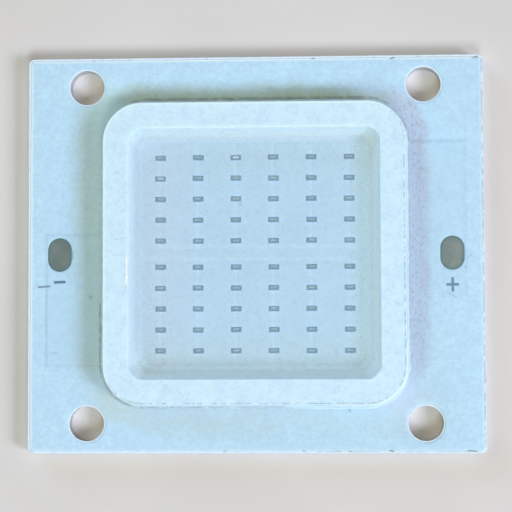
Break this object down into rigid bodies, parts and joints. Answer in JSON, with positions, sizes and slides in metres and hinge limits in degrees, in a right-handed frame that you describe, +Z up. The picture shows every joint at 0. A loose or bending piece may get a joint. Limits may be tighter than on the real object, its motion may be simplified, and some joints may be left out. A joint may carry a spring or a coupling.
{
  "type": "chip-on-board led module",
  "caption": "Flat white metal-core LED board with screw holes at the corners, oval solder pads and a square moulded frame around a grid of LED dies under clear fill.",
  "frame": {"origin": "middle of the board's back face", "axes": "+X along the board's length to the plus pad, +Y along its depth, +Z up out of the light-giving face"},
  "size_m": [0.046, 0.04, 0.0038],
  "materials": {
    "core": "rolled sheet, punched edges",
    "insulation": "matt filled resin",
    "copper": "etched copper foil",
    "mask": "matt white ink with a cool cast",
    "solder": "dull tin solder",
    "ink": "matt grey print",
    "adhesive": "satin white silicone",
    "frame": "matt moulded white",
    "fill": "clear silicone",
    "die": "polished sapphire over dark contacts"
  },
  "bodies": {
    "root": {"core_plate": "core", "insulation": "insulation", "plus_trace": "copper", "minus_trace": "copper", "link_trace": "copper", "upper_block_1": "copper", "lower_block_1": "copper", "upper_block_2": "copper", "lower_block_2": "copper", "upper_block_3": "copper", "lower_block_3": "copper", "upper_block_4": "copper", "lower_block_4": "copper", "upper_block_5": "copper", "lower_block_5": "copper", "solder_mask": "mask", "plus_pad": "solder", "minus_pad": "solder", "plus_mark": "ink", "minus_mark": "ink", "frame_adhesive": "adhesive", "frame": "frame", "encapsulant": "fill", "die_row_01": "die", "die_row_02": "die", "die_row_03": "die", "die_row_04": "die", "die_row_05": "die", "die_row_06": "die", "die_row_07": "die", "die_row_08": "die", "die_row_09": "die", "die_row_10": "die", "solder_row_01": "solder", "solder_row_02": "solder", "solder_row_03": "solder", "solder_row_04": "solder", "solder_row_05": "solder", "solder_row_06": "solder", "solder_row_07": "solder", "solder_row_08": "solder", "solder_row_09": "solder", "solder_row_10": "solder"}
  },
  "joints": []
}
